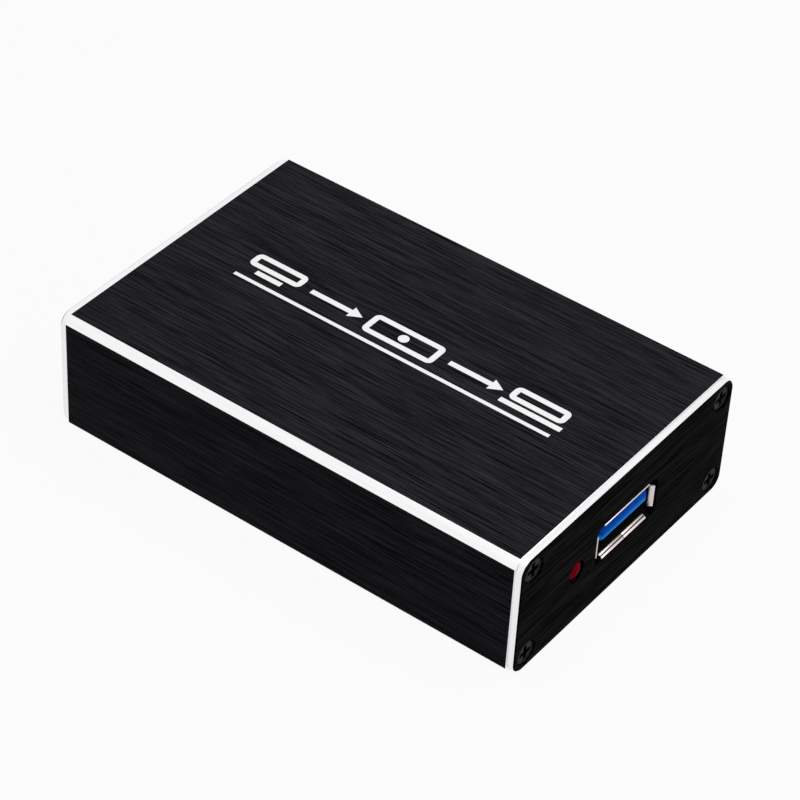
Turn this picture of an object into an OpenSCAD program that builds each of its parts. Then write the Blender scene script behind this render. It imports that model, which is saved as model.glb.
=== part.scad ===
// Video capture box: an extruded aluminium sleeve, closed at both ends by screwed plates.
// A circuit board slides in grooves along the sleeve and carries the two cable sockets,
// the status light and the electronics.
// Origin: middle of the underside. X runs along the sleeve to the output end, Z points up.
// All sizes are in millimetres.

/* [Sleeve] */
// Length of the sleeve between the two end plates
sleeve_length = 76; // [72:1:110]
// Width of the sleeve across its long sides
sleeve_width = 50; // [48:1:70]
// Height of the sleeve
sleeve_height = 20; // [18:0.5:30]
// Thickness of the sleeve's walls
wall = 1.5; // [1.2:0.1:2]
// Bright bevel along each long edge
edge_bevel = 1.2; // [0.4:0.1:1.6]

/* [End plates] */
// Thickness of an end plate
plate_thickness = 1.2; // [1:0.1:2]
// How far an end plate stays inside the sleeve's outline
plate_inset = 0.2; // [0:0.05:0.5]
// Radius of an end plate's corners
plate_corner = 2; // [1:0.1:3]
// Bright cut round an end plate's outer edge
plate_bevel = 0.2; // [0.05:0.05:0.4]
// Gap between a socket's lips and its cut-out
cutout_gap = 0.35; // [0.2:0.05:0.6]
// Radius in the corners of the output cut-out
cutout_corner = 1.5; // [0.2:0.1:2]

/* [Screws] */
// Thread diameter of the screws
screw_thread = 2; // [1.6:0.1:2.2]
// Diameter of a countersunk head
screw_head = 3.5; // [3.2:0.1:3.8]
// How far a head stays below its plate's face
head_sink = 0.25; // [0:0.05:0.3]
// Length of a screw with its head
screw_length = 6; // [4:0.5:10]
// Depth of the cross recess
recess_depth = 0.5; // [0.3:0.1:0.6]
// Length of the cross recess from end to end
recess_span = 2; // [1.4:0.1:2.1]
// Width of each arm of the cross recess
recess_width = 0.55; // [0.3:0.05:0.7]
// From the sleeve's long side to a screw's axis
screw_from_side = 2.9; // [2.6:0.1:4]
// From the sleeve's top or underside to a screw's axis
screw_from_face = 2.6; // [2.4:0.1:3.4]
// Wall round a screw channel inside the sleeve
channel_wall = 1.1; // [0.8:0.1:1.5]
// Slot that opens a screw channel to the inside
channel_slot = 1; // [0.6:0.1:1.4]

/* [Board] */
// Thickness of the circuit board
board_thickness = 1.6; // [1:0.1:2]
// Height of the board's underside above the sleeve's floor
board_lift = 4.3; // [3.8:0.1:5]
// How far a board rail reaches in from the side wall
rail_depth = 1.4; // [0.8:0.1:2]
// Thickness of the rail above the board
rail_thickness = 1; // [0.6:0.1:1.6]

/* [Sockets] */
// Thickness of the sockets' sheet metal
sheet = 0.3; // [0.2:0.05:0.4]
// Outside radius of the bent lips at a socket's mouth
lip_radius = 0.6; // [0.3:0.1:1]
// Angle through which the lips are bent
lip_angle = 60; // [30:5:75]
// How far a socket's mouth stays behind its plate's face
mouth_recess = 0.1; // [0:0.05:0.5]
// How far a socket's tongue stays behind its mouth
tongue_recess = 0.3; // [0.2:0.1:1.5]
// Thickness of the contact strips
contact_sheet = 0.25; // [0.15:0.05:0.3]
// How far a spring finger dips into a socket
finger_dip = 0.35; // [0.1:0.05:0.4]

/* [Output socket] */
// Width of the output socket's opening
out_open_width = 12.5; // [12:0.1:14]
// Height of the output socket's opening
out_open_height = 5.12; // [4.8:0.02:6]
// Depth of the output socket's shell
out_depth = 17.6; // [17:0.1:20]
// Outside radius of the shell's bends
out_bend = 0.6; // [0.5:0.1:1]
// Length of the upper and lower lips
out_lip_width = 10.5; // [6:0.1:11]
// Length of the side lips
out_lip_height = 3.7; // [2:0.1:4]
// Width of the seam along the shell's floor
out_seam = 0.12; // [0.05:0.01:0.3]
// Width of the tongue
out_tongue_width = 11.1; // [10.5:0.1:11.6]
// Thickness of the tongue
out_tongue_thickness = 1.84; // [1.6:0.02:2]
// Bevel round the tongue's tip, on top and at both ends
out_tip_bevel = 0.5; // [0.2:0.05:0.7]
// Gap between the tongue and the shell's roof
out_tongue_gap = 0.64; // [0.5:0.02:1]
// Distance from the mouth to the moulded block
out_block_front = 9.4; // [8:0.1:10]

/* [Input socket] */
// Width of the input socket's opening
in_open_width = 14; // [13.6:0.1:15]
// Height of the input socket's opening
in_open_height = 4.55; // [4.4:0.05:5.5]
// Cut across each lower corner of the opening
in_corner_cut = 1.5; // [0.8:0.1:2]
// Depth of the input socket's shell
in_depth = 10.2; // [9.6:0.1:12]
// Length of the upper lip
in_upper_lip = 11.6; // [6:0.1:12.5]
// Length of the lower lip
in_lower_lip = 9.6; // [6:0.1:10.2]
// Length of the side lips
in_side_lip = 1.8; // [1:0.1:2.2]
// Width of the tongue
in_tongue_width = 10.6; // [10.2:0.1:11.2]
// Thickness of the tongue
in_tongue_thickness = 1.3; // [1:0.1:1.6]
// Distance from the mouth to the moulded block
in_block_front = 7.4; // [6.5:0.1:8]
// Width of one contact
in_contact_width = 0.32; // [0.2:0.02:0.4]

/* [Status light] */
// Diameter of the lamp
lamp_diameter = 3; // [2:0.1:3.4]
// Diameter of the lamp's flange
lamp_flange = 3.8; // [3.6:0.1:4]
// Length of the lamp from flange to tip
lamp_length = 5.3; // [4.5:0.1:7]
// How far the lamp's tip stays behind the plate's face
lamp_recess = 0; // [0:0.1:1]
// Gap between the lamp and its hole
lamp_gap = 0.2; // [0.1:0.05:0.4]
// From the middle of the plate to the lamp's axis
lamp_from_middle = 11.5; // [10:0.1:14]
// Thickness of the lamp's square leads
lead_size = 0.5; // [0.4:0.05:0.6]

/* [Chips] */
// Width of the video receiver's square body
receiver_width = 14; // [13:0.5:14.5]
// Leads on each side of the video receiver
receiver_leads_per_side = 25; // [10:1:26]
// Distance between two of the video receiver's leads
receiver_lead_pitch = 0.5; // [0.4:0.01:0.5]
// Width of the data controller's square body
controller_width = 10; // [9:0.5:11]
// Solder balls along each side of the data controller
controller_balls_per_side = 11; // [5:1:11]
// Distance between two solder balls
ball_pitch = 0.8; // [0.6:0.05:0.8]
// Diameter of a bulk capacitor's can
can_diameter = 5; // [4:0.1:5.5]
// Height of a bulk capacitor's can
can_height = 5.4; // [4:0.1:7]
// Width of a power coil
coil_width = 4; // [3:0.1:4.4]

/* [Hidden] */
$fn = 48;

// Clearances
fit = 0.03;
screw_fit = 0.04;
hole_fit = 0.1;
leg_fit = 0.12;
board_side_gap = 0.2;
board_end_gap = 0.3;
rail_gap = 0.15;
cut = 1;

// Sleeve
inner_width = sleeve_width - 2 * wall;
inner_height = sleeve_height - 2 * wall;
mid_height = sleeve_height / 2;
plate_face = sleeve_length / 2 + plate_thickness;

// Screws
screw_y = sleeve_width / 2 - screw_from_side;
screw_z = mid_height - screw_from_face;
channel_bore = screw_thread + 2 * screw_fit;
channel_outside = channel_bore + 2 * channel_wall;
screw_hole = screw_thread + 2 * hole_fit;
screw_tip = 0.4;

// Board
board_under = wall + board_lift;
board_top = board_under + board_thickness;
board_length = sleeve_length - 2 * board_end_gap;
board_width = inner_width - 2 * board_side_gap;

// Lips, measured from the inside face of a wall that lies along the socket
lip_bend = lip_radius + sheet;
lip_reach = lip_bend * sin(lip_angle);
lip_spread = lip_radius * (1 - cos(lip_angle));
cutout_margin = sheet + lip_spread + cutout_gap;
corner_growth = 2 - sqrt(2);

// Spring fingers, sizes along and across the socket
finger_length = 4.6;
finger_width = 1.6;
finger_tip = 0.7;
finger_slot = 0.25;
finger_start = 2.4;

// Both sockets are drawn with the mouth at X = 0 facing +X and the underside on the board at Z = 0
mouth_place = plate_face - mouth_recess;
pad_setback = 0.6;

// Output socket
out_shell_width = out_open_width + 2 * sheet;
out_shell_height = out_open_height + 2 * sheet;
out_middle = out_shell_height / 2;
out_tongue_top = sheet + out_open_height - out_tongue_gap;
out_tongue_under = out_tongue_top - out_tongue_thickness;
out_under_bevel = 0.15;
out_block_length = 4.1;
out_block_back = out_block_front + out_block_length;
out_floor_end = out_block_front + out_block_length / 2;
out_floor_width = out_open_width - 2 * out_bend;
tail_spacing = 1.4;
out_data_tail = out_block_back + tail_spacing / 2;
out_fast_tail = out_data_tail + tail_spacing;
out_front_leg = 5.5;
out_back_leg = 13;
out_leg_places = [out_front_leg, out_back_leg];
out_leg_width = 1.6;
out_inner_row = 1;
out_outer_row = 3.5;
out_data_rows = [-out_outer_row, -out_inner_row, out_inner_row, out_outer_row];
out_data_width = 1;
out_data_front = 3.6;
out_crest_place = 6.4;
out_crest_half = 1.2;
out_crest_height = 0.5;
out_fast_count = 5;
out_fast_pitch = 2;
out_fast_rows = out_fast_pitch * row_of(out_fast_count);
out_fast_width = 0.7;
out_fast_front = tongue_recess + pad_setback;
out_fast_pad = 1.9;
out_fast_rise = 0.8;
out_finger_offset = 3.1;
out_peg = 1.1;
out_peg_offset = 4.5;
out_peg_place = out_floor_end + out_peg;
tail_width = 0.5;
tail_proud = 1;

// Input socket
in_shell_width = in_open_width + 2 * sheet;
in_shell_height = in_open_height + 2 * sheet;
in_tongue_middle = sheet + in_open_height / 2;
in_tip_bevel = 0.25;
in_contact_pitch = 1;
in_contact_front = tongue_recess + pad_setback;
in_upper_count = 10;
in_lower_count = 9;
in_upper_height = in_tongue_middle + in_tongue_thickness / 2 - contact_sheet;
in_lower_height = in_tongue_middle - in_tongue_thickness / 2;
in_drop_gap = 0.5;
in_row_gap = 0.4;
in_foot_length = 0.5;
in_lower_drop = in_depth + in_drop_gap;
in_upper_drop = in_lower_drop + in_row_gap;
in_foot_back = in_upper_drop + in_foot_length;
in_front_leg = 3.2;
in_back_leg = 8;
in_leg_places = [in_front_leg, in_back_leg];
in_leg_width = 1.4;
in_finger_offset = 3.4;

// Status lamp
lamp_lift = 0.2;
lamp_axis = board_top + lamp_flange / 2 + lamp_lift;
lamp_tip = plate_face - lamp_recess;
lamp_hole = lamp_diameter + 2 * lamp_gap;
lamp_flange_thickness = 1;
lamp_back = lamp_tip - lamp_length;
lead_run = 2;
lamp_bend = lamp_back - lead_run;
lead_pitch = 2.54;

// Places of the electronics on the board's top face
receiver_x = -12;
receiver_place = [receiver_x, 0];
receiver_lead_reach = 1;
receiver_span = receiver_width + 2 * receiver_lead_reach;
controller_x = 8;
controller_place = [controller_x, 0];
memory_gap = 8;
memory_place = [controller_x, controller_width / 2 + memory_gap];
surge_count = 4;
surge_gap = 2;
surge_x = in_foot_back - mouth_place + surge_gap;
surge_spacing = 3.6;
regulator_gap = 6.5;
regulator_y = out_shell_width / 2 + regulator_gap;
regulator_end_gap = 5;
regulator_x = board_length / 2 - regulator_end_gap;
regulator_spacing = 9;
coil_gap = 7;
coil_y = -out_shell_width / 2 - coil_gap;
coil_offset = 8;
coil_x = controller_x + coil_offset;
coil_spacing = 5.6;
can_gap = 7;
can_y = receiver_span / 2 + can_gap;
can_spacing = 6.8;
crystal_gap = 5.6;
crystal_y = -receiver_span / 2 - crystal_gap;
small_crystal_gap = 3.8;
small_pitch = 2.8;
resistor_count = 8;
capacitor_row_gap = 1.4;
resistor_row_gap = 4;
bead_row_gap = 2;

// Sizes of the electronics
receiver_height = 1.4;
receiver_lead_width = 0.22;
receiver_lead_sheet = 0.15;
chip_standoff = 0.1;
controller_height = 0.8;
ball_diameter = 0.45;
ball_height = 0.3;
memory_size = [3.9, 4.9, 1.45];
memory_leads_per_side = 4;
memory_lead_pitch = 1.27;
memory_lead_width = 0.4;
memory_lead_reach = 1.05;
surge_size = [1.6, 2.9, 1.1];
surge_leads_per_side = 3;
surge_lead_pitch = 0.95;
surge_lead_width = 0.35;
surge_lead_reach = 0.6;
regulator_size = [3.5, 6.5, 1.6];
regulator_leads = 3;
regulator_lead_pitch = 2.3;
regulator_lead_width = 0.7;
regulator_tab_width = 3;
regulator_lead_reach = 1.75;
chip_lead_sheet = 0.2;
crystal_base = [11.4, 4.7, 0.6];
crystal_can = [10.2, 3.7, 3.2];
small_crystal = [3.2, 2.5, 0.8];
can_base = 1;
can_base_proud = 0.15;
can_groove = 0.35;
coil_height = 2;
coil_corner = 0.6;
coil_core = 0.7;
capacitor_size = [1.6, 0.8, 0.8];
resistor_size = [1.6, 0.8, 0.45];
bead_size = [2, 1.25, 0.9];
end_cap = 0.3;
end_cap_proud = 0.03;

// Places of a number of things one apart, the middle of the row at 0
function row_of(count) = [for (i = [0 : count - 1]) i - (count - 1) / 2];

// Draws an outline in Y and Z out along X
module along_x(from, to) {
    translate([from, 0, 0]) rotate([90, 0, 90]) linear_extrude(to - from) children();
}

// Draws an outline in X and Z out along Y
module along_y(from, to) {
    translate([0, to, 0]) rotate([90, 0, 0]) linear_extrude(to - from) children();
}

// Upright rectangle between two places in both directions
module bar(x_from, x_to, z_from, z_to) {
    translate([x_from, z_from]) square([x_to - x_from, z_to - z_from]);
}

module rounded_square(width, height, radius) {
    square([width, height - 2 * radius], center = true);
    square([width - 2 * radius, height], center = true);
    for (side = [-1, 1], level = [-1, 1])
        translate([side * (width / 2 - radius), level * (height / 2 - radius)]) circle(radius);
}

// Rectangle standing on Z = 0, whose two lower corners are cut across
module cut_corner_square(width, height, corner) {
    polygon([
        [-width / 2 + corner, 0], [width / 2 - corner, 0], [width / 2, corner],
        [width / 2, height], [-width / 2, height], [-width / 2, corner]
    ]);
}

// Places children at the four screw axes, with their +X pointing to the middle of the box
module at_screws() {
    for (side = [-1, 1], level = [-1, 1])
        translate([side * screw_y, mid_height + level * screw_z]) rotate(side > 0 ? 180 : 0) children();
}

// Turns what is drawn for the output end round to the input end
module at_input_end() {
    rotate([0, 0, 180]) children();
}

// Frames of the two sockets
module at_output_socket() {
    translate([mouth_place, 0, board_top]) children();
}

module at_input_socket() {
    at_input_end() translate([mouth_place, 0, board_top]) children();
}

// Sleeve

module sleeve_outline() {
    polygon([
        [-sleeve_width / 2 + edge_bevel, 0], [sleeve_width / 2 - edge_bevel, 0],
        [sleeve_width / 2, edge_bevel], [sleeve_width / 2, sleeve_height - edge_bevel],
        [sleeve_width / 2 - edge_bevel, sleeve_height], [-sleeve_width / 2 + edge_bevel, sleeve_height],
        [-sleeve_width / 2, sleeve_height - edge_bevel], [-sleeve_width / 2, edge_bevel]
    ]);
}

// The lower rail stands on the screw channel, the upper one closes the groove above the board
module board_rails() {
    inside = inner_width / 2 - rail_depth;
    outside = (inner_width + wall) / 2;
    groove_top = board_top + rail_gap;
    for (side = [0, 1]) mirror([side, 0]) {
        bar(inside, outside, screw_from_face, board_under);
        bar(inside, outside, groove_top, groove_top + rail_thickness);
    }
}

module body_sleeve() {
    color([0.10, 0.10, 0.11]) along_x(-sleeve_length / 2, sleeve_length / 2) difference() {
        sleeve_outline();
        difference() {
            translate([0, mid_height]) square([inner_width, inner_height], center = true);
            board_rails();
            at_screws() circle(d = channel_outside);
        }
        at_screws() circle(d = channel_bore);
        at_screws() bar(0, channel_outside, -channel_slot / 2, channel_slot / 2);
    }
}

// End plates

// Flat plate with turned round corners and a bevel round its outer face, which lies at X = thickness
module plate_blank() {
    half_width = sleeve_width / 2 - plate_inset;
    half_height = mid_height - plate_inset;
    shoulder = plate_thickness - plate_bevel;
    translate([0, 0, plate_inset + plate_corner]) linear_extrude(2 * (half_height - plate_corner)) polygon([
        [0, -half_width], [shoulder, -half_width], [plate_thickness, plate_bevel - half_width],
        [plate_thickness, half_width - plate_bevel], [shoulder, half_width], [0, half_width]
    ]);
    translate([0, 0, mid_height]) along_y(plate_corner - half_width, half_width - plate_corner) polygon([
        [0, -half_height], [shoulder, -half_height], [plate_thickness, plate_bevel - half_height],
        [plate_thickness, half_height - plate_bevel], [shoulder, half_height], [0, half_height]
    ]);
    corner_y = half_width - plate_corner;
    corner_z = half_height - plate_corner;
    for (side = [-1, 1], level = [-1, 1])
        translate([0, side * corner_y, mid_height + level * corner_z])
            rotate([0, 90, 0]) rotate_extrude() polygon([
                [0, 0], [plate_corner, 0], [plate_corner, shoulder],
                [plate_corner - plate_bevel, plate_thickness], [0, plate_thickness]
            ]);
}

module countersunk_hole() {
    sink = head_sink + (screw_head - screw_hole) / 2 + screw_fit;
    translate([-cut, 0, 0]) rotate([0, 90, 0]) cylinder(h = plate_thickness + 2 * cut, d = screw_hole);
    translate([plate_thickness - sink, 0, 0]) rotate([0, 90, 0])
        cylinder(h = 2 * sink, d1 = screw_hole, d2 = screw_hole + 4 * sink);
}

// Plate at the +X end with its four screw holes, less the outlines that are its children
module end_plate() {
    translate([sleeve_length / 2, 0, 0]) difference() {
        plate_blank();
        for (side = [-1, 1], level = [-1, 1])
            translate([0, side * screw_y, mid_height + level * screw_z]) countersunk_hole();
        along_x(-cut, plate_thickness + cut) children();
    }
}

module output_end_plate() {
    color([0.08, 0.08, 0.08]) end_plate() {
        translate([0, board_top + out_middle]) rounded_square(
            out_open_width + 2 * cutout_margin,
            out_open_height + 2 * cutout_margin,
            cutout_corner
        );
        translate([-lamp_from_middle, lamp_axis]) circle(d = lamp_hole);
    }
}

module input_end_plate() {
    color([0.08, 0.08, 0.08]) at_input_end() end_plate() {
        translate([0, board_top + sheet - cutout_margin]) cut_corner_square(
            in_open_width + 2 * cutout_margin,
            in_open_height + 2 * cutout_margin,
            in_corner_cut + corner_growth * cutout_margin
        );
    }
}

// Countersunk screw along X with the top of its head at X = 0
module end_screw() {
    shank = screw_thread / 2;
    head = screw_head / 2;
    difference() {
        rotate([0, 90, 0]) rotate_extrude() polygon([
            [0, 0], [head, 0], [shank, shank - head],
            [shank, screw_tip - screw_length], [shank - screw_tip, -screw_length], [0, -screw_length]
        ]);
        for (turn = [0, 90]) rotate([turn, 0, 0])
            translate([-recess_depth, -recess_span / 2, -recess_width / 2])
                cube([recess_depth + cut, recess_span, recess_width]);
    }
}

module end_screws() {
    for (side = [-1, 1], level = [-1, 1])
        translate([plate_face - head_sink, side * screw_y, mid_height + level * screw_z]) end_screw();
}

module output_plate_screws() {
    color([0.13, 0.13, 0.13]) end_screws();
}

module input_plate_screws() {
    color([0.13, 0.13, 0.13]) at_input_end() end_screws();
}

// Board

// Hole for a sheet metal leg on each side of a socket
module leg_holes(places, leg_width, shell_width) {
    for (place = places, side = [-1, 1])
        translate([-place - leg_width / 2 - leg_fit, side * (shell_width - sheet) / 2 - sheet / 2 - leg_fit,
                   -board_thickness - cut])
            cube([leg_width + 2 * leg_fit, sheet + 2 * leg_fit, board_thickness + 2 * cut]);
}

module tail_holes(places, x) {
    for (y = places)
        translate([x, y, -board_thickness - cut])
            cylinder(h = board_thickness + 2 * cut, d = sqrt(2) * tail_width + 2 * leg_fit);
}

module main_board() {
    color([0.05, 0.28, 0.14]) difference() {
        translate([-board_length / 2, -board_width / 2, board_under])
            cube([board_length, board_width, board_thickness]);
        at_output_socket() {
            leg_holes(out_leg_places, out_leg_width, out_shell_width);
            tail_holes(out_data_rows, -out_data_tail);
            tail_holes(out_fast_rows, -out_fast_tail);
            for (side = [-1, 1]) translate([-out_peg_place, side * out_peg_offset, -board_thickness - cut])
                cylinder(h = board_thickness + 2 * cut, d = out_peg + 2 * leg_fit);
        }
        at_input_socket() leg_holes(in_leg_places, in_leg_width, in_shell_width);
        for (side = [-1, 1])
            translate([lamp_bend, side * lead_pitch / 2 - lamp_from_middle, board_under - cut])
                cylinder(h = board_thickness + 2 * cut, d = sqrt(2) * lead_size + 2 * leg_fit);
    }
}

// Parts that both sockets share

// Bent lip of a roof wall: the wall's inside face is at Z = 0 and the mouth at X = 0
module lip(length) {
    reach = 2 * lip_bend;
    along_y(-length / 2, length / 2) translate([-lip_reach, lip_bend]) intersection() {
        difference() {
            circle(lip_bend);
            circle(lip_radius);
        }
        polygon([[0, 0], [0, -reach], [reach * sin(lip_angle), -reach * cos(lip_angle)]]);
    }
}

// Slot round a spring finger in a roof wall
module finger_window() {
    length = finger_length + finger_slot;
    width = finger_width + 2 * finger_slot;
    translate([-finger_start - finger_length, -width / 2, -cut]) cube([length, width, sheet + 2 * cut]);
}

// Spring finger of a roof wall: it leaves the wall at its inner end and dips below Z = 0
module finger() {
    root = -finger_start - finger_length - sheet;
    low = -finger_start - finger_tip;
    tip = -finger_start;
    along_y(-finger_width / 2, finger_width / 2) polygon([
        [root, 0], [low, -finger_dip], [tip, 0], [tip, sheet], [low, sheet - finger_dip], [root, sheet]
    ]);
}

// Tongue with a bevelled tip that stays behind the mouth; it runs back to X = -back
module tongue(back, width, low, high, tip_bevel, under_bevel) {
    tip = -tongue_recess;
    intersection() {
        along_y(-width / 2 - cut, width / 2 + cut) polygon([
            [-back, low], [tip - under_bevel, low], [tip, low + under_bevel],
            [tip, high - tip_bevel], [tip - tip_bevel, high], [-back, high]
        ]);
        translate([0, 0, low - cut]) linear_extrude(high - low + 2 * cut) polygon([
            [-back - cut, -width / 2], [tip - tip_bevel, -width / 2], [tip, tip_bevel - width / 2],
            [tip, width / 2 - tip_bevel], [tip - tip_bevel, width / 2], [-back - cut, width / 2]
        ]);
    }
}

module side_legs(places, leg_width, shell_width, top) {
    below = board_thickness + tail_proud;
    for (place = places, side = [-1, 1])
        translate([-place - leg_width / 2, side * (shell_width - sheet) / 2 - sheet / 2, -below])
            cube([leg_width, sheet, below + top]);
}

// Output socket

// Puts children on the four walls of the output shell: roof, floor and two sides
module on_output_roof() {
    translate([0, 0, sheet + out_open_height]) children();
}

module on_output_floor() {
    translate([0, 0, sheet]) mirror([0, 0, 1]) children();
}

module on_output_sides() {
    for (side = [-1, 1])
        translate([0, side * out_open_width / 2, out_middle]) rotate([-90 * side, 0, 0]) children();
}

module on_output_finger_places() {
    for (side = [-1, 1]) translate([0, side * out_finger_offset, 0]) {
        on_output_roof() children();
        on_output_floor() children();
    }
    on_output_sides() children();
}

module output_socket_shell() {
    color([0.78, 0.76, 0.74]) at_output_socket() {
        difference() {
            union() {
                translate([0, 0, out_middle]) along_x(-out_depth, -lip_reach) difference() {
                    rounded_square(out_shell_width, out_shell_height, out_bend);
                    rounded_square(out_open_width, out_open_height, out_bend - sheet);
                }
                translate([0, 0, out_middle]) along_x(-out_depth, sheet - out_depth)
                    rounded_square(out_shell_width, out_shell_height, out_bend);
                on_output_roof() lip(out_lip_width);
                on_output_floor() lip(out_lip_width);
                on_output_sides() lip(out_lip_height);
            }
            translate([-out_depth, -out_seam / 2, -lip_spread - cut])
                cube([out_depth + cut, out_seam, lip_spread + sheet + 2 * cut]);
            translate([sheet - out_depth, -out_floor_width / 2, -cut])
                cube([out_depth - out_floor_end - sheet, out_floor_width, sheet + 2 * cut]);
            on_output_finger_places() finger_window();
        }
        on_output_finger_places() finger();
        side_legs(out_leg_places, out_leg_width, out_shell_width, out_bend + sheet);
    }
}

// Side view of one older contact, from its spring crest to its tail
module data_contact_outline(gap) {
    roof = out_tongue_under + contact_sheet;
    bar(-out_data_tail - tail_width / 2, -out_data_front + gap, out_tongue_under - gap, roof);
}

module data_contact_crest() {
    polygon([
        [out_crest_half - out_crest_place, out_tongue_under],
        [-out_crest_place, out_tongue_under - out_crest_height],
        [-out_crest_half - out_crest_place, out_tongue_under]
    ]);
}

// Side view of one fast contact: a pad under the tongue's tip, a rise and a run inside the tongue
module fast_contact_outline(gap) {
    pad_back = out_fast_front + out_fast_pad;
    run_under = out_tongue_under + out_fast_rise;
    run_top = run_under + contact_sheet;
    bar(-pad_back - gap, -out_fast_front + gap, out_tongue_under - gap, out_tongue_under + contact_sheet);
    bar(-pad_back - gap, contact_sheet - pad_back + gap, out_tongue_under - gap, run_top);
    bar(-out_fast_tail - tail_width / 2, contact_sheet - pad_back + gap, run_under - gap, run_top);
}

// Blue moulding: the tongue, the block that holds the contacts and two pegs in the board
module output_socket_tongue() {
    color([0.02, 0.32, 0.75]) at_output_socket() difference() {
        union() {
            tongue(out_block_front + fit, out_tongue_width, out_tongue_under, out_tongue_top,
                   out_tip_bevel, out_under_bevel);
            translate([0, 0, out_middle]) along_x(-out_block_back, -out_block_front)
                rounded_square(out_open_width - 2 * fit, out_open_height - 2 * fit, out_bend - sheet);
            translate([-out_block_back, fit - out_floor_width / 2, 0])
                cube([out_block_back - out_floor_end - fit, out_floor_width - 2 * fit, 2 * sheet]);
            for (side = [-1, 1]) translate([-out_peg_place, side * out_peg_offset, -board_thickness])
                cylinder(h = board_thickness + sheet, d = out_peg);
        }
        for (y = out_data_rows)
            along_y(y - out_data_width / 2 - fit, y + out_data_width / 2 + fit) data_contact_outline(fit);
        for (y = out_fast_rows)
            along_y(y - out_fast_width / 2 - fit, y + out_fast_width / 2 + fit) fast_contact_outline(fit);
    }
}

// Straight tail from a contact down through the board
module contact_tail(x, y, top) {
    translate([x - tail_width / 2, y - tail_width / 2, -board_thickness - tail_proud])
        cube([tail_width, tail_width, board_thickness + tail_proud + top]);
}

module output_data_contacts() {
    color([0.85, 0.65, 0.25]) at_output_socket() for (y = out_data_rows) {
        along_y(y - out_data_width / 2, y + out_data_width / 2) {
            data_contact_outline(0);
            data_contact_crest();
        }
        contact_tail(-out_data_tail, y, out_tongue_under + contact_sheet);
    }
}

module output_fast_contacts() {
    color([0.85, 0.65, 0.25]) at_output_socket() for (y = out_fast_rows) {
        along_y(y - out_fast_width / 2, y + out_fast_width / 2) fast_contact_outline(0);
        contact_tail(-out_fast_tail, y, out_tongue_under + out_fast_rise + contact_sheet);
    }
}

// Input socket

module on_input_roof() {
    translate([0, 0, sheet + in_open_height]) children();
}

module on_input_floor() {
    translate([0, 0, sheet]) mirror([0, 0, 1]) children();
}

module on_input_sides() {
    for (side = [-1, 1])
        translate([0, side * in_open_width / 2, sheet + (in_open_height + in_corner_cut) / 2])
            rotate([-90 * side, 0, 0]) children();
}

module on_input_finger_places() {
    for (side = [-1, 1]) translate([0, side * in_finger_offset, 0]) {
        on_input_roof() children();
        on_input_floor() children();
    }
}

module input_socket_shell() {
    color([0.80, 0.78, 0.75]) at_input_socket() {
        difference() {
            along_x(-in_depth, -lip_reach) difference() {
                cut_corner_square(in_shell_width, in_shell_height, in_corner_cut + corner_growth * sheet);
                translate([0, sheet]) cut_corner_square(in_open_width, in_open_height, in_corner_cut);
            }
            on_input_finger_places() finger_window();
        }
        on_input_roof() lip(in_upper_lip);
        on_input_floor() lip(in_lower_lip);
        on_input_sides() lip(in_side_lip);
        on_input_finger_places() finger();
        side_legs(in_leg_places, in_leg_width, in_shell_width, in_corner_cut + 3 * sheet);
    }
}

// Side view of a contact that runs along the tongue at a height, then down to a foot on the board
module input_contact_outline(height, drop, gap) {
    bar(-drop, -in_contact_front + gap, height - gap, height + contact_sheet + gap);
}

module input_contact(height, drop, y) {
    along_y(y - in_contact_width / 2, y + in_contact_width / 2) {
        input_contact_outline(height, drop, 0);
        bar(-drop, contact_sheet - drop, 0, height + contact_sheet);
        bar(-in_foot_back, contact_sheet - drop, 0, contact_sheet);
    }
}

function contact_rows(count) = in_contact_pitch * row_of(count);

module input_socket_tongue() {
    low = in_tongue_middle - in_tongue_thickness / 2;
    high = in_tongue_middle + in_tongue_thickness / 2;
    color([0.09, 0.09, 0.10]) at_input_socket() difference() {
        union() {
            tongue(in_block_front + fit, in_tongue_width, low, high, in_tip_bevel, in_tip_bevel);
            along_x(-in_depth, -in_block_front) translate([0, sheet + fit]) cut_corner_square(
                in_open_width - 2 * fit, in_open_height - 2 * fit, in_corner_cut
            );
        }
        for (y = contact_rows(in_upper_count))
            along_y(y - in_contact_width / 2 - fit, y + in_contact_width / 2 + fit)
                input_contact_outline(in_upper_height, in_upper_drop, fit);
        for (y = contact_rows(in_lower_count))
            along_y(y - in_contact_width / 2 - fit, y + in_contact_width / 2 + fit)
                input_contact_outline(in_lower_height, in_lower_drop, fit);
    }
}

module input_upper_contacts() {
    color([0.85, 0.65, 0.25]) at_input_socket()
        for (y = contact_rows(in_upper_count)) input_contact(in_upper_height, in_upper_drop, y);
}

module input_lower_contacts() {
    color([0.85, 0.65, 0.25]) at_input_socket()
        for (y = contact_rows(in_lower_count)) input_contact(in_lower_height, in_lower_drop, y);
}

// Status lamp

module at_lamp() {
    translate([lamp_back, -lamp_from_middle, lamp_axis]) rotate([0, 90, 0]) children();
}

module status_lamp() {
    radius = lamp_diameter / 2;
    color([0.70, 0.02, 0.06]) at_lamp() rotate_extrude() intersection() {
        union() {
            square([lamp_flange / 2, lamp_flange_thickness]);
            square([radius, lamp_length - radius]);
            translate([0, lamp_length - radius]) circle(radius);
        }
        square([lamp_flange, lamp_length + cut]);
    }
}

module status_lamp_leads() {
    color([0.75, 0.75, 0.76]) for (side = [-1, 1])
        translate([0, side * lead_pitch / 2 - lamp_from_middle - lead_size / 2, 0]) {
            translate([lamp_bend - lead_size / 2, 0, lamp_axis - lead_size / 2])
                cube([lamp_back - lamp_bend + lead_size / 2, lead_size, lead_size]);
            translate([lamp_bend - lead_size / 2, 0, board_under - tail_proud])
                cube([lead_size, lead_size, lamp_axis + lead_size / 2 - board_under + tail_proud]);
        }
}

// Electronics

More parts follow.
